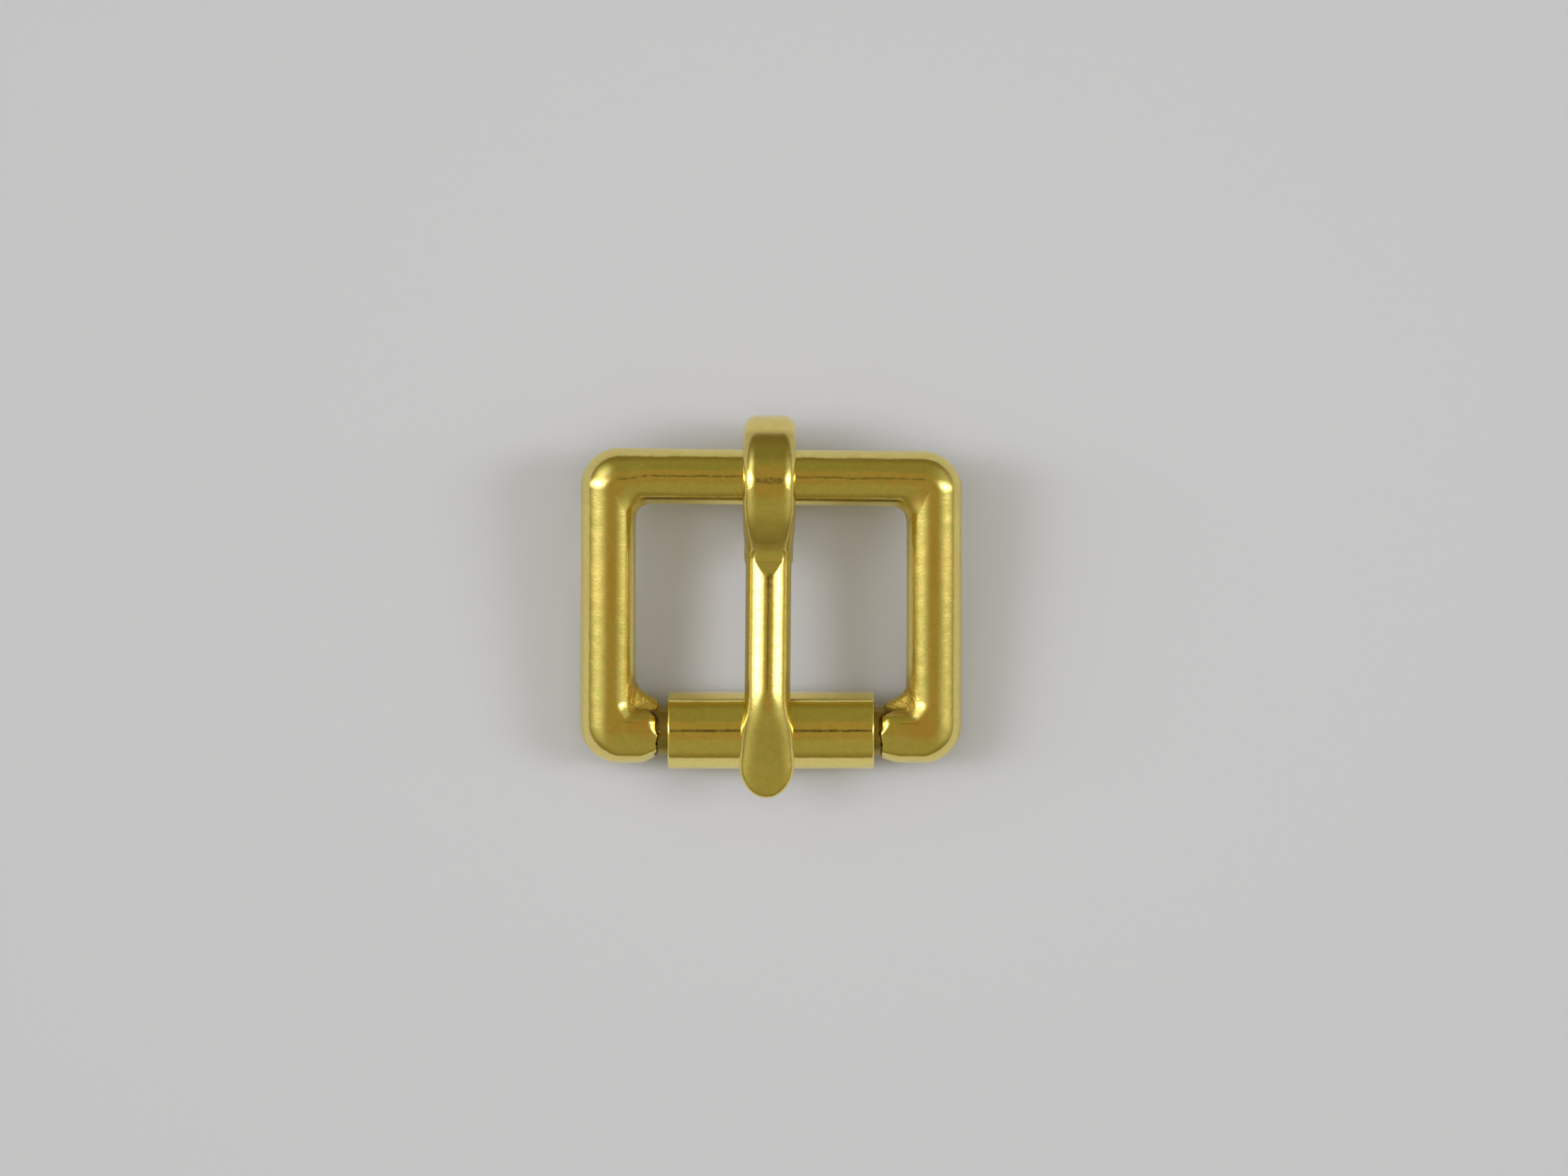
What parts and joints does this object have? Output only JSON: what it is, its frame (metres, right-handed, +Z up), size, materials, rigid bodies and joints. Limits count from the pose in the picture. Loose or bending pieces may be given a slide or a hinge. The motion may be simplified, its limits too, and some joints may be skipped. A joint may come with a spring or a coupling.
{
  "type": "roller buckle",
  "caption": "Rectangular roller buckle for a narrow strap: a cast brass frame, a roller that turns on its front axle and a tongue hinged on the heel bar.",
  "frame": {"origin": "on the surface that the buckle lies on, under the middle of its bounding box", "axes": "+X across the strap, along the heel bar and the roller; +Y from the roller towards the heel bar; +Z up from the surface"},
  "size_m": [0.027, 0.027, 0.0093],
  "materials": {
    "frame_brass": "tumbled satin, cast",
    "roller_brass": "smooth, bright, rolled sheet",
    "tongue_brass": "tumbled satin, cast"
  },
  "bodies": {
    "frame": {"frame": "frame_brass"},
    "roller": {"roller": "roller_brass"},
    "tongue": {"tongue": "tongue_brass"}
  },
  "joints": [
    {"name": "tongue_swing", "type": "hinge", "parent": "frame", "child": "tongue", "pos_m": [0, 0.00911, 0.00467], "axis": [-1, 0, 0], "range_deg": [0, 336]},
    {"name": "roller_spin", "type": "hinge", "parent": "frame", "child": "roller", "pos_m": [0, -0.00873, 0.00272], "axis": [1, 0, 0], "continuous": true}
  ]
}
